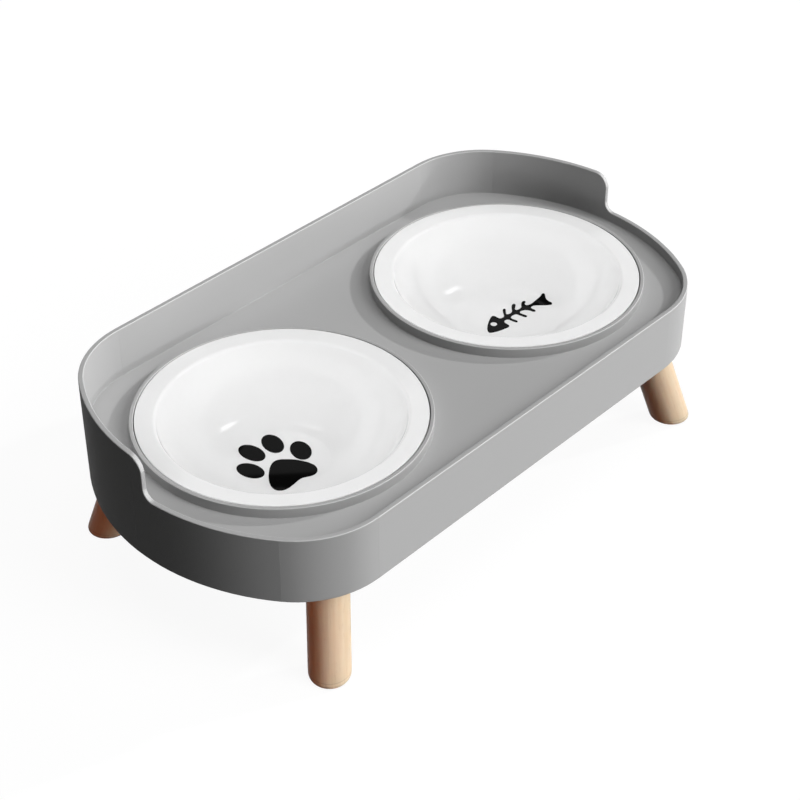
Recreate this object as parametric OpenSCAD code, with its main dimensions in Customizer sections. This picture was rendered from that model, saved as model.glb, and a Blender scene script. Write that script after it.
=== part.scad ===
// Double pet bowl: two ceramic bowls dropped into a moulded tray that stands on four leaning wooden legs.
// Millimetres, +Z up. The origin is on the floor under the middle of the tray.
// +X runs along the tray and +Y runs to its high back wall.

/* [Bowls] */
// Diameter of a bowl over its rim
bowl_d = 150; // [140:1:160]
// Depth of a bowl from the rim to its floor
bowl_depth = 31; // [27:0.5:33]
// Width of the flat rim
rim_w = 9; // [7:0.5:12]
// Thickness of the rim, which is also the height of the collar round it
rim_t = 5.6; // [4.5:0.1:7]
// Fall of the rim from its outer to its inner edge
rim_fall = 0.6; // [0:0.1:1]
// Radius of the rounded edge between the rim and the inside
mouth_edge_r = 2; // [1:0.1:3]
// Radius of the rounded outer edges of the rim
rim_edge_r = 0.4; // [0.3:0.1:2]
// Diameter of the flat floor inside a bowl
bowl_floor_d = 48; // [40:1:60]
// Thickness of the ceramic
bowl_wall = 4.5; // [3.5:0.1:5.5]
// Diameter of the foot ring, at the middle of its wall
foot_ring_d = 58; // [50:1:66]
// Width of the foot ring
foot_ring_w = 4; // [3:0.5:6]
// Height of the foot ring below the bowl
foot_ring_h = 2; // [1.5:0.1:3]

/* [Tray plan] */
// Gap between the rims of the two bowls
bowl_gap = 29.2; // [24:0.1:40]
// Space between a collar and the outside of the tray at its ends
end_margin = 16.4; // [14:0.1:22]
// Space between a collar and the outside of the tray at the front and back
side_margin = 15.4; // [13:0.1:20]
// Radius of the long curve across each end
end_r = 123.5; // [110:0.5:150]
// Radius of the four corners
corner_r = 53; // [46:0.5:60]

/* [Tray height] */
// Height of the skirt's lower edge above the floor
skirt_z = 52.4; // [45:0.1:65]
// Depth of the skirt below the top of the deck
skirt_h = 33; // [33:0.5:42]
// Height of the low front lip above the deck
lip_h = 5.8; // [5.6:0.1:9]
// Height of the back wall above the deck
back_h = 28.6; // [24:0.1:40]
// Thickness of the walls
wall_t = 2.7; // [2.4:0.1:3]
// Radius of the rounded edges along the top of the walls
lip_edge_r = 0.5; // [0.3:0.1:0.9]
// Thickness of the deck
deck_t = 3; // [2:0.1:4]
// Radius of the hollow curve between deck and wall
deck_fillet_r = 0.5; // [0.5:0.1:4]
// Radius of the rounded lower edge of the skirt
skirt_edge_r = 0.8; // [0.4:0.1:1.5]

/* [Step in the wall] */
// Distance from the middle of the tray to the step's upright edge, towards the front
step_y = 0.6; // [0:0.1:8]
// Radius of the rounded corner at the top of the step
step_top_r = 8.5; // [6:0.5:12]
// Radius of the hollow curve at the foot of the step
step_foot_r = 6; // [4:0.5:9]

/* [Collars] */
// Gap round a bowl's rim inside its collar
rim_gap = 0.5; // [0.5:0.1:1.5]
// Thickness of a collar
collar_t = 2.1; // [1.8:0.1:3]
// Radius of the collar's rounded top edges
collar_edge_r = 0.4; // [0.3:0.1:0.9]
// Radius of the hollow curve round the foot of a collar
collar_foot_r = 0.3; // [0.3:0.1:2]
// Gap between a bowl's side and the edge of its well
well_gap = 1.4; // [1:0.1:2]
// Thickness of the ring that stiffens a well under the deck
well_ring_t = 2; // [1.5:0.1:3]
// Depth of that ring below the deck
well_ring_h = 8; // [5:0.5:12]

/* [Ribs under the deck] */
// Thickness of the ribs
rib_t = 1.8; // [1.2:0.1:2.4]
// Depth of the ribs below the deck
rib_h = 12; // [8:0.5:16]

/* [Legs] */
// Diameter of a leg
leg_d = 21.8; // [18:0.2:23]
// Lean of a leg away from upright
leg_lean = 19.5; // [12:0.5:22]
// Direction of the lean, measured from the tray's length
leg_turn = 44; // [40:1:50]
// Distance from the end of the tray to the middle of a foot
foot_inset_x = 39; // [36:0.5:44]
// Distance from the side of the tray to the middle of a foot
foot_inset_y = 9.3; // [7:0.1:13]
// Radius of the rounded edge of a foot
foot_edge_r = 2.6; // [1.5:0.1:3]
// Height of a leg's seat above the skirt's lower edge
seat_rise = 6; // [5:0.5:8]
// Diameter of the boss that a leg is screwed against
boss_d = 25; // [24:0.5:28]

/* [Fixings] */
// Diameter of the bolt's machine thread
bolt_d = 6; // [5:0.5:6]
// Diameter of the bolt's wood thread
wood_thread_d = 6.6; // [5:0.1:7]
// Length of the wood thread in the leg
wood_thread_l = 22; // [16:1:28]
// Length of the cone at the tip of the wood thread
bolt_tip_l = 3; // [2:0.5:4]
// Diameter of the threaded insert
insert_d = 9; // [8:0.5:10]
// Length of the threaded insert
insert_l = 10; // [8:0.5:12]
// Width of the groove round the insert
insert_groove_w = 2; // [1:0.5:3]
// Depth of the groove round the insert
insert_groove_h = 0.4; // [0.2:0.1:0.6]
// Space left past the ends of the bolt and the insert
end_space = 0.5; // [0.3:0.1:1]
// Gap round the bolt in its holes
bolt_gap = 0.1; // [0.05:0.01:0.15]

/* [Foot pads] */
// Diameter of a pad
pad_d = 15; // [12:0.5:16]
// Thickness of a pad
pad_t = 2; // [1.5:0.1:3]
// Height of the wood above the floor, which the pad makes up
pad_show = 0.5; // [0.3:0.1:1]
// Gap round a pad in its recess
pad_gap = 0.1; // [0.05:0.05:0.3]

/* [Hidden] */
$fn = 96;

// Overrun of every cut past the face that it starts from
over = 1;
// Sinking of a curved face into the piece that it is fused to, so that no two faces only graze each other
lap = 0.03;
// Overlap of neighbouring pieces along the tray's outline
joint_l = 0.3;

// Bowl: radii, with heights measured from the rim's top
rim_r = bowl_d / 2;
mouth_r = rim_r - rim_w;
floor_r = bowl_floor_d / 2;
edge_drop = bowl_depth - rim_fall - mouth_edge_r;
side_r = (pow(mouth_r - floor_r, 2) / (mouth_edge_r + edge_drop) + edge_drop - mouth_edge_r) / 2;
side_z = side_r - bowl_depth;
body_r = side_r + bowl_wall;
body_top_r = floor_r + sqrt(pow(body_r, 2) - pow(side_z + rim_t, 2));
bowl_h = bowl_depth + bowl_wall + foot_ring_h;

// Heights above the floor
deck_z = skirt_z + skirt_h;
rim_z = deck_z + rim_t;
lip_z = deck_z + lip_h;
back_z = deck_z + back_h;
deck_under_z = deck_z - deck_t;

// Tray plan, worked out from the bowls that it holds
bowl_x = rim_r + bowl_gap / 2;
collar_in_r = rim_r + rim_gap;
collar_out_r = collar_in_r + collar_t;
well_r = body_top_r + well_gap;
half_l = bowl_x + collar_out_r + end_margin;
half_w = collar_out_r + side_margin;

// Middle of the end curve, middle of a corner, and the angle at which the two curves meet
end_x = half_l - end_r;
corner_y = half_w - corner_r;
corner_x = end_x + sqrt(pow(end_r - corner_r, 2) - pow(corner_y, 2));
meet_a = atan2(corner_y, corner_x - end_x);

// Lip over the step: a bead as wide as the wall follows the wall's middle, with the lip's rounded edges
lip_r = wall_t / 2;
bead_r = lip_r - 2 * lap;
bead_edge = bead_r - lip_edge_r;
wall_mid_r = end_r - lip_r;
bead_sides = 20;
bead_steps = 10;

// Step: the middle line of its lip runs from the back wall over two curves to the front lip
step_edge_y = -step_y;
step_top_y = step_edge_y + step_top_r;
step_foot_y = step_edge_y - step_foot_r;
// The walls beside the step start a joint's length past it, and the step's own wall reaches as far into them
step_back_a = asin((step_top_y + joint_l) / wall_mid_r);
step_front_a = asin((step_foot_y - joint_l) / wall_mid_r);
end_joint_a = joint_l / end_r * 180 / PI;
corner_joint_a = joint_l / corner_r * 180 / PI;

// Legs: a foot's middle on the floor, and the seat's distance up the leg
foot_x = half_l - foot_inset_x;
foot_y = half_w - foot_inset_y;
leg_r = leg_d / 2;
boss_r = boss_d / 2;
seat_l = (skirt_z + seat_rise) / cos(leg_lean);
edge_top_z = pad_show + foot_edge_r;
leg_cut_z = edge_top_z + over;
foot_slices = 6;

bolt_r = bolt_d / 2;
wood_thread_r = wood_thread_d / 2;
insert_r = insert_d / 2;
machine_thread_l = insert_l - end_space;

tray_grey = [0.62, 0.62, 0.62];
glaze_white = [0.95, 0.95, 0.94];
beech = [0.84, 0.68, 0.52];
zinc = [0.75, 0.76, 0.78];
brass = [0.80, 0.65, 0.35];
pad_grey = [0.45, 0.45, 0.45];

// Placing

module flip_x(on) {
  if (on) mirror([1, 0, 0]) children();
  else children();
}

module flip_y(on) {
  if (on) mirror([0, 1, 0]) children();
  else children();
}

module both_ends() {
  children();
  mirror([1, 0, 0]) children();
}

module both_sides() {
  children();
  mirror([0, 1, 0]) children();
}

// Carries its children from the upright to the line of the back right leg, with zero on the floor
module along_leg() {
  translate([foot_x, foot_y, 0])
    rotate([0, 0, leg_turn])
      rotate([0, -leg_lean, 0])
        children();
}

// Flat shapes

// Slice of a disc between two angles that are less than a quarter turn apart
module slice_of_disc(r, from, to) {
  middle = (from + to) / 2;
  intersection() {
    circle(r = r);
    polygon(2 * r * [[0, 0], [cos(from), sin(from)], [cos(middle), sin(middle)], [cos(to), sin(to)]]);
  }
}

// One quarter of the tray's plan, drawn inside its outline by the inset
module plan_quarter(inset) {
  edge_y = half_w - inset;
  polygon([[0, 0], [end_x, 0], [corner_x, corner_y], [corner_x, edge_y], [0, edge_y]]);
  translate([end_x, 0]) slice_of_disc(end_r - inset, 0, meet_a);
  translate([corner_x, corner_y]) slice_of_disc(corner_r - inset, meet_a, 90);
}

module plan(inset) {
  both_ends() both_sides() plan_quarter(inset);
}

// Hollow quarter curve that fills a corner, with its two flat sides on the axes
module hollow_corner(r) {
  difference() {
    square(r);
    translate([r, r]) circle(r = r);
  }
}

// Section of the tray's edge: skirt, wall and the hollow curve down to the deck.
// Zero is on the outside face, and the inside is on the left. The inset draws every face in.
module edge_section(top_z, inset) {
  edge_r = skirt_edge_r - inset;
  thick = wall_t - 2 * inset;
  foot_z = skirt_z + skirt_edge_r;
  sunk = inset + lap;
  translate([inset - wall_t, skirt_z + inset]) square([thick - edge_r, edge_r]);
  translate([-skirt_edge_r, foot_z]) circle(r = edge_r);
  translate([inset - wall_t, foot_z]) square([thick, top_z - foot_z]);
  translate([sunk - wall_t, deck_z - sunk]) mirror([1, 0]) hollow_corner(deck_fillet_r + sunk);
}

// The same section with a flat top between rounded edges
module lipped_section(top_z, inset) {
  edge_z = top_z - lip_edge_r;
  edge_section(edge_z, inset);
  translate([lip_edge_r - wall_t, edge_z]) square([wall_t - 2 * lip_edge_r, lip_edge_r - inset]);
  for (x = [lip_edge_r - wall_t, -lip_edge_r])
    translate([x, edge_z]) circle(r = lip_edge_r - inset);
}

// Half section of what stands on the deck round a well and what hangs below it
module collar_section() {
  top_w = collar_t - 2 * collar_edge_r;
  side_h = rim_t - collar_edge_r;
  translate([well_r, deck_under_z - well_ring_h]) square([well_ring_t, well_ring_h + lap]);
  translate([collar_in_r, deck_z - lap]) square([collar_t, side_h + lap]);
  translate([collar_in_r + collar_edge_r, deck_z + side_h]) square([top_w, collar_edge_r]);
  for (x = [collar_in_r + collar_edge_r, collar_out_r - collar_edge_r])
    translate([x, deck_z + side_h]) circle(r = collar_edge_r);
  translate([collar_out_r - lap, deck_z - lap]) hollow_corner(collar_foot_r + lap);
}

// Half section of the bowl's inside, up past the rim
module bowl_inside_section() {
  edge_y = -rim_fall - mouth_edge_r;
  slope = atan2(side_z - edge_y, mouth_r - floor_r);
  tangent_x = mouth_r - mouth_edge_r * cos(slope);
  tangent_y = edge_y + mouth_edge_r * sin(slope);
  translate([0, -bowl_depth]) square([floor_r, bowl_depth + over]);
  translate([floor_r, side_z]) slice_of_disc(side_r, -90, -slope);
  difference() {
    polygon([
      [floor_r, side_z],
      [tangent_x, tangent_y],
      [mouth_r, edge_y],
      [mouth_r, -rim_fall],
      [rim_r, 0],
      [rim_r, over],
      [floor_r, max(over, side_z)],
    ]);
    translate([mouth_r, edge_y]) circle(r = mouth_edge_r);
  }
}

// Half section of the bowl's outside: rim, curved side and foot ring
module bowl_outside_section() {
  ring_in_r = (foot_ring_d - foot_ring_w) / 2;
  side_h = rim_t - 2 * rim_edge_r;
  translate([0, -rim_t]) square([rim_r - rim_edge_r, rim_t]);
  translate([0, rim_edge_r - rim_t]) square([rim_r, side_h]);
  for (y = [-rim_edge_r, rim_edge_r - rim_t])
    translate([rim_r - rim_edge_r, y]) circle(r = rim_edge_r);
  translate([0, -bowl_depth - bowl_wall]) square([floor_r, bowl_depth + bowl_wall - rim_t]);
  intersection() {
    translate([floor_r, side_z]) circle(r = body_r);
    translate([floor_r, -bowl_depth - bowl_wall]) square([body_r, bowl_depth + bowl_wall - rim_t]);
  }
  translate([ring_in_r, -bowl_h]) square([foot_ring_w, foot_ring_h + bowl_wall]);
}

// Tray

// Side view of what stays of the wall at the step, up to the lip's middle line: low in front, high behind
module step_outline() {
  low = lip_z - lip_r;
  high = back_z - lip_r;
  edge = step_edge_y + lip_r;
  top_r = step_top_r - lip_r;
  foot_r = step_foot_r + lip_r;
  far = step_top_y + over;
  near = step_foot_y - over;
  translate([near, 0]) square([far - near, low]);
  translate([edge, 0]) square([far - edge, high - top_r]);
  translate([step_top_y, 0]) square([over, high]);
  translate([step_top_y, high - top_r]) circle(r = top_r);
  translate([edge, low]) mirror([1, 0]) hollow_corner(foot_r);
}

// Wall across the step, with its top following the step's side view
module step_wall() {
  from = step_front_a - end_joint_a;
  intersection() {
    translate([end_x, 0, 0]) rotate([0, 0, from])
      rotate_extrude(angle = step_back_a + end_joint_a - from) translate([end_r, 0]) edge_section(back_z, lap);
    translate([end_x, 0, 0]) rotate([90, 0, 90]) linear_extrude(height = end_r + over) step_outline();
  }
}

// Middle line of the lip over the step, as [y, z, direction angle], from back to front
function step_line() =
  let (
    top_r = step_top_r - lip_r,
    foot_r = step_foot_r + lip_r,
    high = back_z - lip_r,
    low = lip_z - lip_r
  )
  concat(
    [[step_top_y + bead_r, high, 180]],
    [for (i = [0:bead_steps])
      let (a = 90 * i / bead_steps)
      [step_top_y - top_r * sin(a), high - top_r * (1 - cos(a)), 180 + a]],
    [for (i = [0:bead_steps])
      let (a = 90 * i / bead_steps)
      [step_foot_y + foot_r * cos(a), low + foot_r * (1 - sin(a)), 270 - a]],
    [[step_foot_y - bead_r, low, 180]]
  );

// Square ring with rounded corners round one place on that line, wrapped onto the end curve
function bead_ring(place) =
  let (
    turn = asin(place[0] / wall_mid_r),
    out = [cos(turn), sin(turn), 0],
    along = [-sin(turn), cos(turn), 0],
    middle = [end_x, 0, place[1]] + wall_mid_r * out,
    across = -sin(place[2]) * along + [0, 0, cos(place[2])]
  )
  [for (k = [0:bead_sides - 1])
    let (a = 360 * (k + 0.5) / bead_sides)
    middle
      + (bead_edge * sign(cos(a)) + lip_edge_r * cos(a)) * out
      + (bead_edge * sign(sin(a)) + lip_edge_r * sin(a)) * across];

// Lip over the step: one bead that bends down the corner, along the upright edge and out at its foot
module step_bead() {
  rings = [for (place = step_line()) bead_ring(place)];
  count = len(rings);
  n = bead_sides;
  polyhedron(
    points = [for (ring = rings) each ring],
    faces = concat(
      [[for (k = [0:n - 1]) n - 1 - k]],
      [for (i = [0:count - 2], k = [0:n - 1])
        [i * n + k, i * n + (k + 1) % n, (i + 1) * n + (k + 1) % n, (i + 1) * n + k]],
      [[for (k = [0:n - 1]) (count - 1) * n + k]]
    )
  );
}

// Wall of the front or the back half: the end curve from the step on, the corner, and at both ends alike.
// The corner is drawn in a hair and reaches into its neighbours.
module half_wall(top_z, from) {
  both_ends() {
    translate([end_x, 0, 0]) rotate([0, 0, from])
      rotate_extrude(angle = meet_a - from) translate([end_r, 0]) lipped_section(top_z, 0);
    translate([corner_x, corner_y, 0]) rotate([0, 0, meet_a - corner_joint_a])
      rotate_extrude(angle = 90 - meet_a + 2 * corner_joint_a)
        translate([corner_r, 0]) lipped_section(top_z, lap);
  }
  translate([-corner_x, half_w, 0]) rotate([90, 0, 90])
    linear_extrude(height = 2 * corner_x) lipped_section(top_z, 0);
}

module tray_wall() {
  half_wall(back_z, step_back_a);
  mirror([0, 1, 0]) half_wall(lip_z, -step_front_a);
  both_ends() {
    step_wall();
    step_bead();
  }
}

module tray_deck() {
  translate([0, 0, deck_under_z]) linear_extrude(height = deck_t)
    difference() {
      plan(lip_r);
      for (x = [-bowl_x, bowl_x]) translate([x, 0]) circle(r = well_r);
    }
  for (x = [-bowl_x, bowl_x])
    translate([x, 0, 0]) rotate_extrude() collar_section();
}

// Ribs under the deck: one across the middle, and one from each well to each wall that it faces
module tray_ribs() {
  translate([0, 0, deck_under_z - rib_h]) linear_extrude(height = rib_h + deck_t / 2)
    difference() {
      intersection() {
        plan(lip_r);
        union() {
          for (x = [-bowl_x, 0, bowl_x]) translate([x, 0]) square([rib_t, 2 * half_w], center = true);
          square([2 * half_l, rib_t], center = true);
        }
      }
      for (x = [-bowl_x, bowl_x]) translate([x, 0]) circle(r = well_r + well_ring_t / 2);
    }
}

// Room that a bowl needs below the deck
module bowl_room() {
  room_r = body_r + well_gap;
  translate([bowl_x, 0, rim_z]) rotate_extrude() {
    translate([0, -bowl_h - over]) square([floor_r, bowl_h]);
    intersection() {
      translate([floor_r, side_z]) circle(r = room_r);
      translate([floor_r, -bowl_h - over]) square([room_r, bowl_h]);
    }
  }
}

// Boss of the back right leg: it leans with the leg, hangs from the deck and is braced to the skirt
module leg_boss() {
  difference() {
    intersection() {
      union() {
        along_leg() translate([0, 0, seat_l]) cylinder(r = boss_r, h = skirt_h + boss_d);
        along_leg() translate([0, -rib_t / 2, seat_l + rib_t]) cube([corner_r, rib_t, skirt_h + boss_d]);
      }
      translate([0, 0, skirt_z]) linear_extrude(height = skirt_h - deck_t / 2) plan(lip_r);
    }
    bowl_room();
  }
}

// Hole up a boss that holds the threaded insert
module insert_hole() {
  along_leg() translate([0, 0, seat_l - over]) cylinder(r = insert_r, h = over + insert_l + end_space);
}

module tray() {
  color(tray_grey) difference() {
    union() {
      tray_wall();
      tray_deck();
      tray_ribs();
      both_ends() both_sides() leg_boss();
    }
    both_ends() both_sides() insert_hole();
  }
}

// Bowls

module bowl(x) {
  color(glaze_white) translate([x, 0, rim_z]) rotate_extrude()
    difference() {
      bowl_outside_section();
      bowl_inside_section();
    }
}

// Legs

// Level slice through the leaning leg
module leg_slice(z, r) {
  shift = z * tan(leg_lean);
  translate([foot_x - shift * cos(leg_turn), foot_y - shift * sin(leg_turn), z])
    rotate([0, 0, leg_turn])
      scale([1 / cos(leg_lean), 1, 1])
        cylinder(r = r, h = lap, $fn = 48);
}

// Rounded end of a leg, level with the floor
module leg_end() {
  hull() {
    for (i = [0:foot_slices]) {
      a = 90 * i / foot_slices;
      leg_slice(pad_show + foot_edge_r * (1 - cos(a)), leg_r - lap - foot_edge_r * (1 - sin(a)));
    }
    leg_slice(leg_cut_z + over, leg_r - lap);
  }
}

module leg() {
  difference() {
    union() {
      difference() {
        along_leg() cylinder(r = leg_r, h = seat_l);
        translate([foot_x, foot_y, leg_cut_z - leg_d]) cube([4 * leg_d, 4 * leg_d, 2 * leg_d], center = true);
      }
      leg_end();
    }
    along_leg() translate([0, 0, seat_l - wood_thread_l - end_space])
      cylinder(r = wood_thread_r + bolt_gap, h = wood_thread_l + end_space + over);
    translate([foot_x, foot_y, pad_t - skirt_z]) cylinder(r = pad_d / 2 + pad_gap, h = skirt_z);
  }
}

module leg_at(left, front) {
  color(beech) flip_x(left) flip_y(front) leg();
}

// Fixings

// Hanger bolt: wood thread with a cone tip in the leg, machine thread in the insert
module hanger_bolt(left, front) {
  cone_z = seat_l - wood_thread_l;
  color(zinc) flip_x(left) flip_y(front) along_leg() {
    translate([0, 0, cone_z]) cylinder(r1 = wood_thread_r / 4, r2 = wood_thread_r, h = bolt_tip_l);
    translate([0, 0, cone_z + bolt_tip_l]) cylinder(r = wood_thread_r, h = wood_thread_l - bolt_tip_l);
    translate([0, 0, seat_l]) cylinder(r = bolt_r, h = machine_thread_l);
  }
}

// Brass insert with a groove round it that keeps it from pulling out
module insert(left, front) {
  color(brass) flip_x(left) flip_y(front) along_leg() translate([0, 0, seat_l])
    difference() {
      cylinder(r = insert_r, h = insert_l);
      translate([0, 0, (insert_l - insert_groove_w) / 2]) difference() {
        cylinder(r = insert_r + over, h = insert_groove_w);
        translate([0, 0, -over]) cylinder(r = insert_r - insert_groove_h, h = insert_groove_w + 2 * over);
      }
      translate([0, 0, -over]) cylinder(r = bolt_r + bolt_gap, h = insert_l + 2 * over);
    }
}

module foot_pad(left, front) {
  color(pad_grey) flip_x(left) flip_y(front) translate([foot_x, foot_y, 0]) cylinder(r = pad_d / 2, h = pad_t);
}

tray();
bowl(-bowl_x);  // bowl_left
bowl(bowl_x);  // bowl_right
leg_at(true, true);  // leg_front_left
leg_at(false, true);  // leg_front_right
leg_at(true, false);  // leg_back_left
leg_at(false, false);  // leg_back_right
hanger_bolt(true, true);  // hanger_bolt_front_left
hanger_bolt(false, true);  // hanger_bolt_front_right
hanger_bolt(true, false);  // hanger_bolt_back_left
hanger_bolt(false, false);  // hanger_bolt_back_right
insert(true, true);  // insert_front_left
insert(false, true);  // insert_front_right
insert(true, false);  // insert_back_left
insert(false, false);  // insert_back_right
foot_pad(true, true);  // foot_pad_front_left
foot_pad(false, true);  // foot_pad_front_right
foot_pad(true, false);  // foot_pad_back_left
foot_pad(false, false);  // foot_pad_back_right
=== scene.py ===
import math

import bmesh
import bpy
from mathutils import Matrix, Vector


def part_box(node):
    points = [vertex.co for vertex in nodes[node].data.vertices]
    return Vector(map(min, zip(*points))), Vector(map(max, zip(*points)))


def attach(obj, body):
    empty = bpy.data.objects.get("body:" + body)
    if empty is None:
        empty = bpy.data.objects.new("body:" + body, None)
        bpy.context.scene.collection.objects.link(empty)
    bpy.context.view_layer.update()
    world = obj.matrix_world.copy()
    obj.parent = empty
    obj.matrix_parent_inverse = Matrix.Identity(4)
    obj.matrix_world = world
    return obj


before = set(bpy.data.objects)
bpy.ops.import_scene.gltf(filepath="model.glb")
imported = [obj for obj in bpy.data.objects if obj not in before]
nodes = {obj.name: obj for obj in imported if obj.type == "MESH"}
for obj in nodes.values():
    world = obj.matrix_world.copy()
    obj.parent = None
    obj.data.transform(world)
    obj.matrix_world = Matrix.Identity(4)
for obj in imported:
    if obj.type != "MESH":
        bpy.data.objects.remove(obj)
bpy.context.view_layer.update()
mm = 0.001
print("frame loaded:", len(nodes), "nodes")


# camera: where the photograph was taken from, worked out for a square picture of 800 pixels

camera = {
    "target": (-42.2, -37.8, 91.0),  # mm, in the plane of the rims
    "distance": 933.8,  # mm
    "azimuth": -47.94,  # degrees, round to the left of straight ahead
    "elevation": 36.39,
    "roll": 0.07,
    "focalPixels": 1822.0,
    "picturePixels": 800.0,
    "sensor": 36.0,  # mm
    "nearest": 0.01,  # metres that it sees from and to
    "farthest": 50,
}


def directionOf(azimuth, elevation):
    # degrees, round from straight in front toward the right, and up
    turn, tilt = math.radians(azimuth), math.radians(elevation)
    return Vector((
        math.sin(turn) * math.cos(tilt), -math.cos(turn) * math.cos(tilt), math.sin(tilt)))


def placeCamera(c):
    data = bpy.data.cameras.new("photoCamera")
    data.sensor_width = c["sensor"]
    data.lens = c["focalPixels"] / c["picturePixels"] * c["sensor"]
    data.clip_start = c["nearest"]
    data.clip_end = c["farthest"]
    obj = bpy.data.objects.new("photoCamera", data)
    bpy.context.scene.collection.objects.link(obj)
    back = directionOf(c["azimuth"], c["elevation"])
    turn, tilt, roll = (math.radians(c[key]) for key in ("azimuth", "elevation", "roll"))
    spin = Matrix.Rotation(turn, 4, "Z") @ Matrix.Rotation(math.pi / 2 - tilt, 4, "X")
    spin = spin @ Matrix.Rotation(roll, 4, "Z")
    place = (Vector(c["target"]) + back * c["distance"]) * mm
    obj.matrix_world = Matrix.Translation(place) @ spin
    bpy.context.scene.camera = obj


placeCamera(camera)
print("camera placed")


# shading helpers

mixAmount, mixFirst, mixSecond, mixResult = 0, 6, 7, 2  # sockets of a Mix node for colours


def toLinear(hexColour):
    parts = [int(hexColour[i:i + 2], 16) / 255 for i in (1, 3, 5)]
    return [p / 12.92 if p <= 0.04045 else ((p + 0.055) / 1.055) ** 2.4 for p in parts] + [1.0]


def patternScale(size):
    return 1 / (size * mm)  # repeats per metre of a pattern this many millimetres across


def newMaterial(name):
    material = bpy.data.materials.new(name)
    material.use_nodes = True
    material.node_tree.nodes.clear()
    return material


def addNode(material, kind, inputs=None, **settings):
    # an input takes a plain value, a socket of another node, or a node for its first output
    node = material.node_tree.nodes.new(kind)
    for name, value in settings.items():
        setattr(node, name, value)
    for name, value in (inputs or {}).items():
        if isinstance(value, bpy.types.Node):
            value = value.outputs[0]
        if isinstance(value, bpy.types.NodeSocket):
            material.node_tree.links.new(value, node.inputs[name])
        else:
            node.inputs[name].default_value = value
    return node


def setMaterial(material, *names):
    for name in names:
        data = nodes[name].data
        data.materials.clear()
        data.materials.append(material)


# tray: ABS, injection moulded against a fine spark-eroded tool, which leaves it matt

trayFinish = {
    "colour": "#adadad",
    "flowColour": "#aaaaaa",
    "flow": 70,  # mm, slow shade changes where the melt ran
    "flowDetail": 3.0,
    "grain": 0.9,  # mm, coarser than the real 0.2 so that it still shows
    "grainDetail": 2.0,
    "grainDepth": 0.02,  # mm
    "grainStrength": 0.5,
    "roughness": (0.52, 0.6),
    "sheen": 0.01,  # next to none: the spark-eroded grain breaks up every reflection
    "ior": 1.5,
    "edgeHeight": 88.0,  # mm, above it the rounded edges get a painted highlight: a paler grey and a little more gloss
    "edgeFade": 1,  # mm
    "wallSlopes": (0.05, 0.25),  # how far a face looks up where a wall turns into an edge
    "deckSlopes": (0.93, 0.99),  # and where the edge turns into a level top
    # painted highlight: the paler grey that the rounded edges take on, standing in for the light
    # they catch
    "paintedHighlightColour": "#c0c0c0",
    "edgeSheen": 0.1,
    "edgeRoughness": 0.35,
}


def mouldedAbs(f):
    m = newMaterial("mouldedAbs")
    at = addNode(m, "ShaderNodeTexCoord").outputs["Object"]
    flow = addNode(m, "ShaderNodeTexNoise", {
        "Vector": at, "Scale": patternScale(f["flow"]), "Detail": f["flowDetail"]})
    grain = addNode(m, "ShaderNodeTexNoise", {
        "Vector": at, "Scale": patternScale(f["grain"]), "Detail": f["grainDetail"]})
    plastic = addNode(m, "ShaderNodeMix", {
        mixAmount: flow,
        mixFirst: toLinear(f["flowColour"]),
        mixSecond: toLinear(f["colour"])}, data_type="RGBA").outputs[mixResult]
    # edges, found by their slope, neither upright like the walls nor level like the deck, get a
    # painted highlight
    normal = addNode(m, "ShaderNodeNewGeometry").outputs["Normal"]
    slope = addNode(m, "ShaderNodeSeparateXYZ", {"Vector": normal}).outputs["Z"]
    height = addNode(m, "ShaderNodeSeparateXYZ", {"Vector": at}).outputs["Z"]
    high = addNode(m, "ShaderNodeMapRange", {
        "Value": height,
        "From Min": f["edgeHeight"] * mm,
        "From Max": (f["edgeHeight"] + f["edgeFade"]) * mm})
    leaning = addNode(m, "ShaderNodeMapRange", {
        "Value": slope, "From Min": f["wallSlopes"][0], "From Max": f["wallSlopes"][1]})
    notLevel = addNode(m, "ShaderNodeMapRange", {
        "Value": slope, "From Min": f["deckSlopes"][0], "From Max": f["deckSlopes"][1],
        "To Min": 1.0, "To Max": 0.0})
    paintedHighlightMask = addNode(m, "ShaderNodeMath", {0: leaning, 1: notLevel}, operation="MULTIPLY")
    paintedHighlightMask = addNode(m, "ShaderNodeMath", {0: paintedHighlightMask, 1: high}, operation="MULTIPLY")
    # painted highlight mixed into the colour of the edges
    colour = addNode(m, "ShaderNodeMix", {
        mixAmount: paintedHighlightMask,
        mixFirst: plastic,
        mixSecond: toLinear(f["paintedHighlightColour"])}, data_type="RGBA").outputs[mixResult]
    sheen = addNode(m, "ShaderNodeMapRange", {
        "Value": paintedHighlightMask, "To Min": f["sheen"], "To Max": f["edgeSheen"]})
    skin = addNode(m, "ShaderNodeMapRange", {
        "Value": grain, "To Min": f["roughness"][0], "To Max": f["roughness"][1]})
    rough = addNode(m, "ShaderNodeMapRange", {
        "Value": paintedHighlightMask, "To Min": skin, "To Max": f["edgeRoughness"]})
    bump = addNode(m, "ShaderNodeBump", {
        "Height": grain, "Distance": f["grainDepth"] * mm, "Strength": f["grainStrength"]})
    shader = addNode(m, "ShaderNodeBsdfPrincipled", {
        "Base Color": colour, "Roughness": rough, "Normal": bump,
        "IOR": f["ior"], "Specular IOR Level": sheen})
    addNode(m, "ShaderNodeOutputMaterial", {"Surface": shader})
    return m


setMaterial(mouldedAbs(trayFinish), "tray")
print("tray finished")


# bowls: white stoneware under a clear glaze, which mirrors the room sharply, and fired
# standing on a bare foot ring

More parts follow.
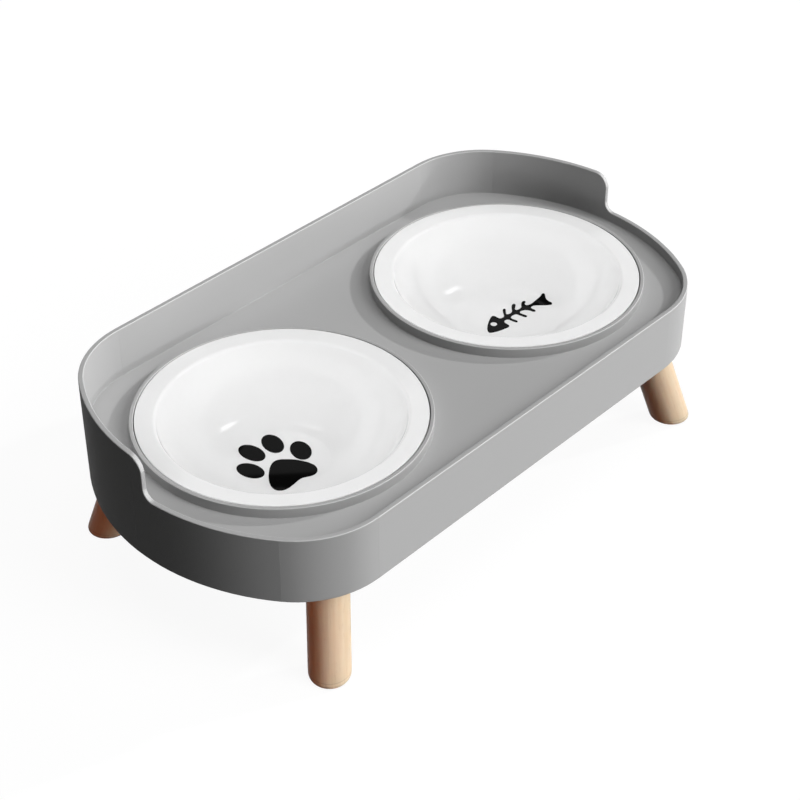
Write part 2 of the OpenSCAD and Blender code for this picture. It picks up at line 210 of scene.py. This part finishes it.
bowlFinish = {
    "colour": "#f6f6f6",
    "poolColour": "#f3f3f3",
    "pool": 45,  # mm, where the glaze lies a little thicker
    "poolDetail": 2.0,
    "peel": 7,  # mm, the faint waves of a poured glaze
    "peelDetail": 1.0,
    "peelDepth": 0.03,  # mm
    "peelStrength": 0.4,
    "roughness": 0.07,
    "ior": 1.5,
    "bareColour": "#d9d2c4",
    "bareHeight": 0.9,  # mm of clay left bare at the foot
    "bareFade": 0.2,  # mm
    "bareRoughness": 0.85,
    "glow": 4,  # mm that light creeps in through the glaze
    "glowShare": 0.3,
    "glowReach": (1.0, 1.0, 1.0),  # how far red, green and blue go, as shares of the glow
}


def clearGlaze(f):
    m = newMaterial("glazedStoneware")
    at = addNode(m, "ShaderNodeTexCoord").outputs["Object"]
    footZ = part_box("bowl_left")[0].z
    height = addNode(m, "ShaderNodeSeparateXYZ", {"Vector": at}).outputs["Z"]
    bare = addNode(m, "ShaderNodeMapRange", {
        "Value": height,
        "From Min": footZ + f["bareHeight"] * mm,
        "From Max": footZ + (f["bareHeight"] + f["bareFade"]) * mm,
        "To Min": 1.0, "To Max": 0.0})
    pool = addNode(m, "ShaderNodeTexNoise", {
        "Vector": at, "Scale": patternScale(f["pool"]), "Detail": f["poolDetail"]})
    peel = addNode(m, "ShaderNodeTexNoise", {
        "Vector": at, "Scale": patternScale(f["peel"]), "Detail": f["peelDetail"]})
    glazed = addNode(m, "ShaderNodeMix", {
        mixAmount: pool,
        mixFirst: toLinear(f["colour"]),
        mixSecond: toLinear(f["poolColour"])}, data_type="RGBA").outputs[mixResult]
    colour = addNode(m, "ShaderNodeMix", {
        mixAmount: bare,
        mixFirst: glazed,
        mixSecond: toLinear(f["bareColour"])}, data_type="RGBA").outputs[mixResult]
    rough = addNode(m, "ShaderNodeMapRange", {
        "Value": bare, "To Min": f["roughness"], "To Max": f["bareRoughness"]})
    bump = addNode(m, "ShaderNodeBump", {
        "Height": peel, "Distance": f["peelDepth"] * mm, "Strength": f["peelStrength"]})
    shader = addNode(m, "ShaderNodeBsdfPrincipled", {
        "Base Color": colour, "Roughness": rough, "Normal": bump, "IOR": f["ior"],
        "Subsurface Weight": f["glowShare"],
        "Subsurface Radius": f["glowReach"],
        "Subsurface Scale": f["glow"] * mm}, subsurface_method="BURLEY")
    addNode(m, "ShaderNodeOutputMaterial", {"Surface": shader})
    return m


setMaterial(clearGlaze(bowlFinish), "bowl_left", "bowl_right")
print("bowls finished")


# legs: beech, turned and varnished matt. Fine streaks run along the leg, short ray flecks lie
# between them, and light creeps in under the varnish, so the wood looks warm in its shade

legFinish = {
    "pale": "#dfcbb0",
    "dark": "#d8bf9f",
    "fleck": "#c7aa8d",
    "streak": 2.2,  # mm across the grain
    "streakRun": 60,  # mm along it
    "streakDetail": 4.0,
    "streakBreak": 0.6,
    "streakRange": (0.3, 0.7),  # part of the noise that runs from dark to pale
    "fleckWidth": 0.8,  # mm, wider than the real 0.3 so that it still shows
    "fleckLength": 5,
    "fleckDetail": 1.0,
    "fleckRange": (0.62, 0.72),
    "fleckShare": 0.3,
    "fleckDepth": 0.02,  # mm
    "fleckStrength": 0.4,
    "roughness": (0.44, 0.54),
    "sheen": 0.25,  # matt varnish, so the pale room hardly greys the shaded side
    "ior": 1.5,
    "glow": 8,  # mm that light creeps in
    "glowShare": 1.0,
    "glowReach": (1.0, 0.6, 0.4),  # red goes furthest
    "rings": (2.5, 4.2),  # mm above the floor, thin darker rings round the turned end
    "ringWidth": 0.7,
    "ringColour": "#8f6a4a",
    "ringShare": 0.35,
    "lean": 19.5,  # degrees from upright
    "turn": 44,  # degrees between the way it leans and the tray's length
}


def turnedBeech(name, f):
    low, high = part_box(name)
    right, behind = low.x + high.x > 0, low.y + high.y > 0
    turn = f["turn"] if right else 180 - f["turn"]
    turn = turn if behind else -turn
    m = newMaterial("turnedBeech_" + name)
    at = addNode(m, "ShaderNodeTexCoord").outputs["Object"]
    along = addNode(m, "ShaderNodeMapping", {
        "Vector": at,
        "Location": ((low.x + high.x) / 2, (low.y + high.y) / 2, (low.z + high.z) / 2),
        "Rotation": (0, -math.radians(f["lean"]), math.radians(turn))}, vector_type="TEXTURE")
    stretched = addNode(m, "ShaderNodeMapping", {
        "Vector": along, "Scale": (1, 1, f["streak"] / f["streakRun"])})
    streak = addNode(m, "ShaderNodeTexNoise", {
        "Vector": stretched, "Scale": patternScale(f["streak"]),
        "Detail": f["streakDetail"], "Roughness": f["streakBreak"]})
    thin = addNode(m, "ShaderNodeMapping", {
        "Vector": along, "Scale": (1, 1, f["fleckWidth"] / f["fleckLength"])})
    fleck = addNode(m, "ShaderNodeTexNoise", {
        "Vector": thin, "Scale": patternScale(f["fleckWidth"]), "Detail": f["fleckDetail"]})
    fleckMask = addNode(m, "ShaderNodeMapRange", {
        "Value": fleck, "From Min": f["fleckRange"][0], "From Max": f["fleckRange"][1],
        "To Min": 0.0, "To Max": f["fleckShare"]})
    streakMask = addNode(m, "ShaderNodeMapRange", {
        "Value": streak, "From Min": f["streakRange"][0], "From Max": f["streakRange"][1]})
    wood = addNode(m, "ShaderNodeMix", {
        mixAmount: streakMask,
        mixFirst: toLinear(f["dark"]),
        mixSecond: toLinear(f["pale"])}, data_type="RGBA").outputs[mixResult]
    colour = addNode(m, "ShaderNodeMix", {
        mixAmount: fleckMask,
        mixFirst: wood,
        mixSecond: toLinear(f["fleck"])}, data_type="RGBA").outputs[mixResult]
    height = addNode(m, "ShaderNodeSeparateXYZ", {"Vector": at}).outputs["Z"]
    for ringHeight in f["rings"]:
        away = addNode(m, "ShaderNodeMath", {0: height, 1: ringHeight * mm}, operation="SUBTRACT")
        away = addNode(m, "ShaderNodeMath", {0: away}, operation="ABSOLUTE")
        ring = addNode(m, "ShaderNodeMapRange", {
            "Value": away, "From Max": f["ringWidth"] / 2 * mm,
            "To Min": f["ringShare"], "To Max": 0.0})
        colour = addNode(m, "ShaderNodeMix", {
            mixAmount: ring,
            mixFirst: colour,
            mixSecond: toLinear(f["ringColour"])}, data_type="RGBA").outputs[mixResult]
    rough = addNode(m, "ShaderNodeMapRange", {
        "Value": streak, "To Min": f["roughness"][0], "To Max": f["roughness"][1]})
    bump = addNode(m, "ShaderNodeBump", {
        "Height": fleck, "Distance": f["fleckDepth"] * mm, "Strength": f["fleckStrength"]})
    shader = addNode(m, "ShaderNodeBsdfPrincipled", {
        "Base Color": colour, "Roughness": rough, "Normal": bump, "IOR": f["ior"],
        "Specular IOR Level": f["sheen"],
        "Subsurface Weight": f["glowShare"],
        "Subsurface Radius": f["glowReach"],
        "Subsurface Scale": f["glow"] * mm}, subsurface_method="BURLEY")
    addNode(m, "ShaderNodeOutputMaterial", {"Surface": shader})
    return m


for name in nodes:
    if name.startswith("leg_"):
        setMaterial(turnedBeech(name, legFinish), name)
print("legs finished")


# bolts: steel, plated with zinc, which leaves soft patches of brighter and duller metal

boltFinish = {
    "zinc": "#c3c5c9",
    "spangle": 3,  # mm, patches in the plating
    "spangleDetail": 2.0,
    "roughness": (0.28, 0.45),
}


def zincPlatedSteel(f):
    m = newMaterial("zincPlatedSteel")
    at = addNode(m, "ShaderNodeTexCoord").outputs["Object"]
    patch = addNode(m, "ShaderNodeTexNoise", {
        "Vector": at, "Scale": patternScale(f["spangle"]), "Detail": f["spangleDetail"]})
    rough = addNode(m, "ShaderNodeMapRange", {
        "Value": patch, "To Min": f["roughness"][0], "To Max": f["roughness"][1]})
    shader = addNode(m, "ShaderNodeBsdfPrincipled", {
        "Base Color": toLinear(f["zinc"]), "Metallic": 1.0, "Roughness": rough})
    addNode(m, "ShaderNodeOutputMaterial", {"Surface": shader})
    return m


# inserts: brass, turned, so fine rings catch the light

insertFinish = {
    "brass": "#d8b46a",
    "toolMarks": 0.4,  # mm for a radian of their wave: 2.5 from mark to mark, so that they show
    "waveRadians": 20,  # that a Wave texture runs through at a scale of 1
    "waviness": 0.5,
    "roughness": (0.22, 0.38),
}


def turnedBrass(f):
    m = newMaterial("turnedBrass")
    at = addNode(m, "ShaderNodeTexCoord").outputs["Object"]
    marks = addNode(m, "ShaderNodeTexWave", {
        "Vector": at, "Scale": patternScale(f["toolMarks"]) / f["waveRadians"],
        "Distortion": f["waviness"]}, bands_direction="Z")
    rough = addNode(m, "ShaderNodeMapRange", {
        "Value": marks, "To Min": f["roughness"][0], "To Max": f["roughness"][1]})
    shader = addNode(m, "ShaderNodeBsdfPrincipled", {
        "Base Color": toLinear(f["brass"]), "Metallic": 1.0, "Roughness": rough})
    addNode(m, "ShaderNodeOutputMaterial", {"Surface": shader})
    return m


# pads: foam rubber with a moulded skin, dull and finely pitted

padFinish = {
    "rubber": "#6e6e6e",
    "cell": 1.2,  # mm
    "cellDepth": 0.05,  # mm
    "cellStrength": 0.6,
    "roughness": (0.8, 0.95),
}


def foamRubber(f):
    m = newMaterial("foamRubber")
    at = addNode(m, "ShaderNodeTexCoord").outputs["Object"]
    cells = addNode(m, "ShaderNodeTexVoronoi", {"Vector": at, "Scale": patternScale(f["cell"])})
    bump = addNode(m, "ShaderNodeBump", {
        "Height": cells, "Distance": f["cellDepth"] * mm, "Strength": f["cellStrength"]})
    rough = addNode(m, "ShaderNodeMapRange", {
        "Value": cells, "To Min": f["roughness"][0], "To Max": f["roughness"][1]})
    shader = addNode(m, "ShaderNodeBsdfPrincipled", {
        "Base Color": toLinear(f["rubber"]), "Roughness": rough, "Normal": bump})
    addNode(m, "ShaderNodeOutputMaterial", {"Surface": shader})
    return m


setMaterial(zincPlatedSteel(boltFinish), *[n for n in nodes if n.startswith("hanger_bolt_")])
setMaterial(turnedBrass(insertFinish), *[n for n in nodes if n.startswith("insert_")])
setMaterial(foamRubber(padFinish), *[n for n in nodes if n.startswith("foot_pad_")])
print("bolts, inserts and pads finished")


# prints on the floors of the bowls: made flat, then bent onto the glaze

printBed = {
    "depth": 31.0,  # mm from the rim to the floor
    "floorRadius": 24.0,
    "sideRadius": 42.21,  # of the curve from the floor up the side
    "lift": 0.1,  # the ink stands this much above the glaze
    "skin": 0.2,  # thickness of the piece, most of it sunk in the glaze
    "cell": 2.0,  # spacing of the cuts that let a print bend
    "reach": 45,  # the cuts go this far from the middle
    "curveSteps": 6,
    "onCut": 1e-7,  # metres, points this near a cut lie on it
    "sameSpot": 1e-6,  # metres, points this near each other are one
    "sharpAngle": 40,  # degrees
}

paw = {
    "toes": [  # middle, half length, half width, lean of its length from +X in degrees
        (-18.5, 6.2, 8.1, 5.35, 100),
        (-7.7, 16.3, 8.5, 5.4, 90),
        (5.1, 13.9, 8.4, 5.4, 69),
        (11.0, -1.0, 8.1, 5.4, 62),
    ],
    "toeCorners": 64,
    "heel": [  # smooth curve through these points, mm from the bowl's middle
        (-4.6, 2.7), (-2.2, 1.9), (0.4, -0.4), (3.0, -3.6), (5.4, -8.0), (6.8, -12.8),
        (6.6, -16.4), (5.0, -19.0), (2.4, -20.3), (-0.2, -20.0), (-2.8, -18.7), (-5.2, -17.6),
        (-8.0, -17.6), (-12.0, -18.1), (-16.0, -18.2), (-19.0, -17.2), (-20.7, -15.0),
        (-20.8, -12.4), (-19.2, -8.6), (-16.0, -4.6), (-11.0, -0.1), (-7.4, 2.1),
    ],
}

fish = {
    "outline": [  # smooth curve through these points, round from the mouth over the back
        (-18.4, -3.9), (-17.3, -1.7), (-14.6, 0.6), (-11.0, 2.9), (-7.6, 4.6), (-5.2, 5.5),
        (-4.0, 5.5), (-3.4, 4.4), (-3.4, 2.0), (-3.1, 0.8), (-2.2, 0.3), (-0.3, 0.3),
        (1.4, 1.8), (3.2, 3.8), (4.8, 5.2), (5.8, 5.6), (6.6, 4.9), (5.8, 3.9), (3.9, 2.1),
        (2.9, 0.8), (3.4, 0.1), (6.9, 0.1), (8.6, 1.6), (10.6, 3.4), (12.6, 4.6), (13.8, 4.7),
        (14.3, 3.9), (13.5, 2.8), (11.4, 1.4), (10.0, 0.1), (10.3, -0.7), (13.8, -1.1),
        (15.4, 0.1), (17.2, 1.5), (18.8, 2.2), (20.2, 2.2), (20.7, 1.5), (20.0, 0.6),
        (18.5, -0.1), (17.8, -1.2), (18.5, -2.3), (20.4, -2.9), (25.0, -2.6), (30.0, -2.3),
        (33.2, -2.1), (33.2, -3.0), (31.6, -4.9), (30.2, -6.6), (29.4, -9.0), (28.9, -11.9),
        (27.8, -12.7), (26.4, -11.6), (23.6, -8.4), (21.2, -5.8), (19.6, -5.1), (18.0, -5.2),
        (17.3, -6.3), (17.3, -8.4), (16.9, -9.4), (15.9, -9.7), (15.2, -8.8), (14.7, -6.8),
        (13.8, -4.9), (12.0, -3.7), (9.9, -3.5), (9.1, -4.4), (9.2, -6.4), (9.5, -8.4),
        (9.0, -9.5), (7.9, -9.4), (7.3, -8.0), (6.9, -5.4), (6.6, -3.7), (5.4, -2.9),
        (2.6, -2.9), (1.5, -3.7), (1.4, -5.8), (1.6, -8.0), (1.0, -9.0), (0.2, -8.9),
        (-0.3, -7.6), (-0.6, -5.2), (-0.9, -3.6), (-2.2, -2.7), (-3.8, -3.1), (-4.6, -4.2),
        (-4.9, -6.2), (-5.3, -7.9), (-6.6, -8.5), (-9.4, -8.1), (-12.8, -7.2), (-15.8, -6.0),
        (-17.6, -5.0),
    ],
    "eye": (-10.05, -0.35, 1.9),  # middle and radius
    "eyeCorners": 12,
}


def addOutline(curve, points):
    spline = curve.splines.new("BEZIER")
    spline.bezier_points.add(len(points) - 1)
    for point, (x, y) in zip(spline.bezier_points, points):
        point.co = (x * mm, y * mm, 0)
        point.handle_left_type = point.handle_right_type = "AUTO"
    spline.use_cyclic_u = True


def flatShape(outlines):
    curve = bpy.data.curves.new("outline", "CURVE")
    curve.dimensions = "2D"
    curve.fill_mode = "BOTH"
    curve.resolution_u = printBed["curveSteps"]
    for points in outlines:
        addOutline(curve, points)
    obj = bpy.data.objects.new("outline", curve)
    bpy.context.scene.collection.objects.link(obj)
    filled = obj.evaluated_get(bpy.context.evaluated_depsgraph_get())
    mesh = bpy.data.meshes.new_from_object(filled)
    bpy.data.objects.remove(obj)
    bm = bmesh.new()
    bm.from_mesh(mesh)
    bpy.data.meshes.remove(mesh)
    return bm


def roundOutline(x, y, radius, corners):
    turns = [2 * math.pi * i / corners for i in range(corners)]
    return [(x + radius * math.cos(turn), y + radius * math.sin(turn)) for turn in turns]


def bendOntoGlaze(bm, b, rimZ):
    steps = int(b["reach"] / b["cell"])
    for axis in ((1, 0, 0), (0, 1, 0)):  # cuts the flat print into cells
        for i in range(-steps, steps + 1):
            bmesh.ops.bisect_plane(
                bm, geom=bm.verts[:] + bm.edges[:] + bm.faces[:], dist=b["onCut"],
                plane_co=Vector(axis) * i * b["cell"] * mm, plane_no=axis)
    bmesh.ops.remove_doubles(bm, verts=bm.verts[:], dist=b["sameSpot"])
    floorZ = rimZ - b["depth"] * mm
    side = b["sideRadius"] * mm
    for v in bm.verts:  # follows the floor, then the curve of the side
        out = max(0.0, math.hypot(v.co.x, v.co.y) - b["floorRadius"] * mm)
        v.co.z = floorZ + side - math.sqrt(side * side - out * out) + b["lift"] * mm


def thicken(bm, skin):
    bmesh.ops.recalc_face_normals(bm, faces=bm.faces[:])
    if sum(f.normal.z for f in bm.faces) < 0:
        bmesh.ops.reverse_faces(bm, faces=bm.faces[:])
    copied = bmesh.ops.extrude_face_region(bm, geom=bm.faces[:])["geom"]
    bmesh.ops.reverse_faces(bm, faces=[g for g in copied if isinstance(g, bmesh.types.BMFace)])
    bmesh.ops.translate(
        bm, vec=(0, 0, -skin), verts=[g for g in copied if isinstance(g, bmesh.types.BMVert)])
    bmesh.ops.recalc_face_normals(bm, faces=bm.faces[:])


def printPiece(name, bm, bowl, material):
    low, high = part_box(bowl)
    bendOntoGlaze(bm, printBed, high.z)
    thicken(bm, printBed["skin"] * mm)
    middle = ((low.x + high.x) / 2, (low.y + high.y) / 2, 0)
    bmesh.ops.translate(bm, vec=middle, verts=bm.verts[:])
    mesh = bpy.data.meshes.new(name)
    bm.to_mesh(mesh)
    bm.free()
    mesh.materials.append(material)
    mesh.shade_smooth()
    mesh.set_sharp_from_angle(angle=math.radians(printBed["sharpAngle"]))
    obj = bpy.data.objects.new(name, mesh)
    bpy.context.scene.collection.objects.link(obj)
    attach(obj, bowl)
    return obj


def makePaw(p, material):
    bm = flatShape([p["heel"]])
    for x, y, halfLength, halfWidth, lean in p["toes"]:
        shape = (Matrix.Translation((x * mm, y * mm, 0))
                 @ Matrix.Rotation(math.radians(lean), 4, "Z")
                 @ Matrix.Diagonal((halfLength, halfWidth, 1, 1)))
        bmesh.ops.create_circle(
            bm, cap_ends=True, segments=p["toeCorners"], radius=mm, matrix=shape)
    return printPiece("paw_print", bm, "bowl_left", material)


def makeFish(f, material):
    bm = flatShape([f["outline"], roundOutline(*f["eye"], f["eyeCorners"])])
    return printPiece("fish_print", bm, "bowl_right", material)


# ceramic ink: black stain fired into the glaze, so it is deep black with a thin, sharp gloss

inkFinish = {
    "colour": "#030303",
    "speckColour": "#060606",
    "speck": 1.5,  # mm
    "speckDetail": 2.0,
    "roughness": 0.02,
    "ior": 1.5,
    "sheen": 0.06,
}


def ceramicInk(f):
    m = newMaterial("ceramicInk")
    at = addNode(m, "ShaderNodeTexCoord").outputs["Object"]
    specks = addNode(m, "ShaderNodeTexNoise", {
        "Vector": at, "Scale": patternScale(f["speck"]), "Detail": f["speckDetail"]})
    colour = addNode(m, "ShaderNodeMix", {
        mixAmount: specks,
        mixFirst: toLinear(f["colour"]),
        mixSecond: toLinear(f["speckColour"])}, data_type="RGBA").outputs[mixResult]
    shader = addNode(m, "ShaderNodeBsdfPrincipled", {
        "Base Color": colour, "Roughness": f["roughness"],
        "IOR": f["ior"], "Specular IOR Level": f["sheen"]})
    addNode(m, "ShaderNodeOutputMaterial", {"Surface": shader})
    return m


ink = ceramicInk(inkFinish)
pawPrint = makePaw(paw, ink)
fishPrint = makeFish(fish, ink)
print("prints laid on the bowls")


# studio: a floor that looks nearly white, white walls and a darker ceiling. Tray, legs and
# bowls have lamps of their own, so that each has the light and shade of the photograph

studio = {
    "floorColour": "#f4f4f4",
    "floorReach": 6,  # metres to each side
    "floorShade": "#2a2a2a",  # what the floor throws back onto the object
    "floorShadow": 0.09,  # how much of the floor's own shading the camera sees
    "floorGlow": 1.025,  # brightness of the rest of it
    "surround": 0.04,  # strength of the light from all round
    "ceiling": 0.12,  # brightness of the ceiling, as the camera and the glaze see it
    "ceilingEdge": 38.6,  # degrees up, where the white walls end
    "ceilingFade": 0.03,
    "lampDistance": 2,  # metres
    # degrees round from the front and up, strength, width in degrees
    "trayLamps": {
        "keyLamp": (69.5, 23.5, 1.55, 2),  # hard: gives the crisp shadows of the collars
        "frontLamp": (20, 34, 1.75, 36),
        "lowLamp": (14, 4, 1.1, 18),
        "topLamp": (0, 82, 1.1, 40),
    },
    "legLamps": {
        "legKeyLamp": (80, 18, 0.9, 44),
        "legFrontLamp": (24, 24, 3.8, 46),
        "legFillLamp": (-84, 14, 0.4, 30),
        "legBackLamp": (135, 15, 2.0, 30),
    },
    "bowlLamps": {
        "domeLamp": (0, 90, 1.45, 170),
        "bowlFrontLamp": (35, 14, 1.66, 50),
        "bowlBackLamp": (272, 44, 1.2, 50),
    },
    "lampTints": {"legFillLamp": "#ff8c50"},  # light that came off other wood
    # degrees round from the front and up, metres away, metres wide and high, brightness
    "wallCards": {  # low strips, whose light reaches only the tray's outer walls
        "frontStrip": (18, 3, 0.62, 0.45, 0.05, 7.4),
        "sideStrip": (78, 3, 0.62, 0.5, 0.05, 6.4),
        "backStrip": (148, 3, 0.62, 0.6, 0.05, 6),
    },
    "leftCards": {  # glints in the left bowl's glaze, from a window and three slats
        "leftWindow": (95, 57, 3, 0.3, 0.5, 4),
        "leftSlatFar": (144, 53, 3, 0.02, 0.3, 8),
        "leftSlatMid": (147, 53, 3, 0.02, 0.3, 8),
        "leftSlatNear": (150, 53, 3, 0.02, 0.3, 8),
    },
    "rightCards": {  # and in the right bowl's
        "rightWindow": (97, 47, 3, 0.3, 0.5, 4),
        "rightSlatFar": (127, 45, 3, 0.02, 0.3, 7),
        "rightSlatMid": (130, 45, 3, 0.02, 0.3, 7),
        "rightSlatNear": (133, 45, 3, 0.02, 0.3, 7),
    },
}

white = (1, 1, 1, 1)


def seenOrMirrored(m):
    path = addNode(m, "ShaderNodeLightPath")
    seen = addNode(m, "ShaderNodeMath", {
        0: path.outputs["Is Camera Ray"], 1: path.outputs["Is Glossy Ray"]},
        operation="MAXIMUM")
    return addNode(m, "ShaderNodeMath", {
        0: seen, 1: path.outputs["Is Transmission Ray"]}, operation="MAXIMUM")


def paleFloor(s):
    m = newMaterial("paleFloor")
    thrown = addNode(m, "ShaderNodeBsdfDiffuse", {"Color": toLinear(s["floorShade"])})
    shaded = addNode(m, "ShaderNodeBsdfDiffuse", {"Color": toLinear(s["floorColour"])})
    bright = addNode(m, "ShaderNodeEmission", {"Strength": s["floorGlow"]})
    seen = addNode(m, "ShaderNodeMixShader", {0: 1 - s["floorShadow"], 1: shaded, 2: bright})
    shader = addNode(m, "ShaderNodeMixShader", {0: seenOrMirrored(m), 1: thrown, 2: seen})
    addNode(m, "ShaderNodeOutputMaterial", {"Surface": shader})
    bm = bmesh.new()
    bmesh.ops.create_grid(bm, x_segments=1, y_segments=1, size=s["floorReach"])
    mesh = bpy.data.meshes.new("floor")
    bm.to_mesh(mesh)
    bm.free()
    mesh.materials.append(m)
    floor = bpy.data.objects.new("floor", mesh)
    bpy.context.scene.collection.objects.link(floor)


def whiteWorld(s):
    world = bpy.data.worlds.new("studio")
    bpy.context.scene.world = world
    world.use_nodes = True
    world.node_tree.nodes.clear()
    lit = addNode(world, "ShaderNodeBackground", {"Color": white, "Strength": s["surround"]})
    # seen or mirrored, the walls are white up to the edge of a darker ceiling
    at = addNode(world, "ShaderNodeTexCoord").outputs["Generated"]
    upward = addNode(world, "ShaderNodeSeparateXYZ", {"Vector": at}).outputs["Z"]
    wallTop = math.radians(s["ceilingEdge"])
    ceilingStart = math.radians(s["ceilingEdge"] + s["ceilingFade"])
    brightness = addNode(world, "ShaderNodeMapRange", {
        "Value": upward, "From Min": math.sin(wallTop), "From Max": math.sin(ceilingStart),
        "To Min": 1.0, "To Max": s["ceiling"]})
    seen = addNode(world, "ShaderNodeBackground", {"Color": white, "Strength": brightness})
    mix = addNode(world, "ShaderNodeMixShader", {0: seenOrMirrored(world), 1: lit, 2: seen})
    addNode(world, "ShaderNodeOutputWorld", {"Surface": mix})


def piecesToLight(name, pieces):
    lit = bpy.data.collections.new(name)
    for piece in pieces:
        lit.objects.link(piece)
    return lit


def placeLamp(data, azimuth, elevation, distance, lit):
    lamp = bpy.data.objects.new(data.name, data)
    bpy.context.scene.collection.objects.link(lamp)
    toward = directionOf(azimuth, elevation)
    lamp.location = toward * distance
    lamp.rotation_mode = "QUATERNION"
    lamp.rotation_quaternion = toward.to_track_quat("Z", "Y")
    lamp.light_linking.receiver_collection = lit
    return lamp


def hangLamps(s, group, lit, mirrored=True):
    for name, (azimuth, elevation, strength, width) in s[group].items():
        data = bpy.data.lights.new(name, "SUN")
        data.energy = strength
        data.angle = math.radians(width)
        if name in s["lampTints"]:
            data.color = toLinear(s["lampTints"][name])[:3]
        placeLamp(data, azimuth, elevation, s["lampDistance"], lit).visible_glossy = mirrored


def hangCards(s, group, lit):
    for name, (azimuth, elevation, distance, width, height, brightness) in s[group].items():
        data = bpy.data.lights.new(name, "AREA")
        data.shape = "RECTANGLE"
        data.size, data.size_y = width, height
        data.energy = brightness * math.pi * width * height
        placeLamp(data, azimuth, elevation, distance, lit).visible_camera = False


paleFloor(studio)
whiteWorld(studio)
bowlPieces = [nodes["bowl_left"], nodes["bowl_right"], pawPrint, fishPrint]
legPieces = [nodes[name] for name in nodes if name.startswith("leg_")]
meshPieces = [obj for obj in bpy.data.objects if obj.type == "MESH"]
otherPieces = [obj for obj in meshPieces if obj not in bowlPieces + legPieces]
hangLamps(studio, "trayLamps", piecesToLight("litTray", otherPieces))
hangCards(studio, "wallCards", piecesToLight("litWalls", [nodes["tray"]]))
hangLamps(studio, "legLamps", piecesToLight("litLegs", legPieces))
hangLamps(studio, "bowlLamps", piecesToLight("litBowls", bowlPieces), mirrored=False)
hangCards(studio, "leftCards", piecesToLight("litLeftBowl", [nodes["bowl_left"]]))
hangCards(studio, "rightCards", piecesToLight("litRightBowl", [nodes["bowl_right"]]))
bpy.context.scene.view_settings.view_transform = "Standard"
print("studio set")
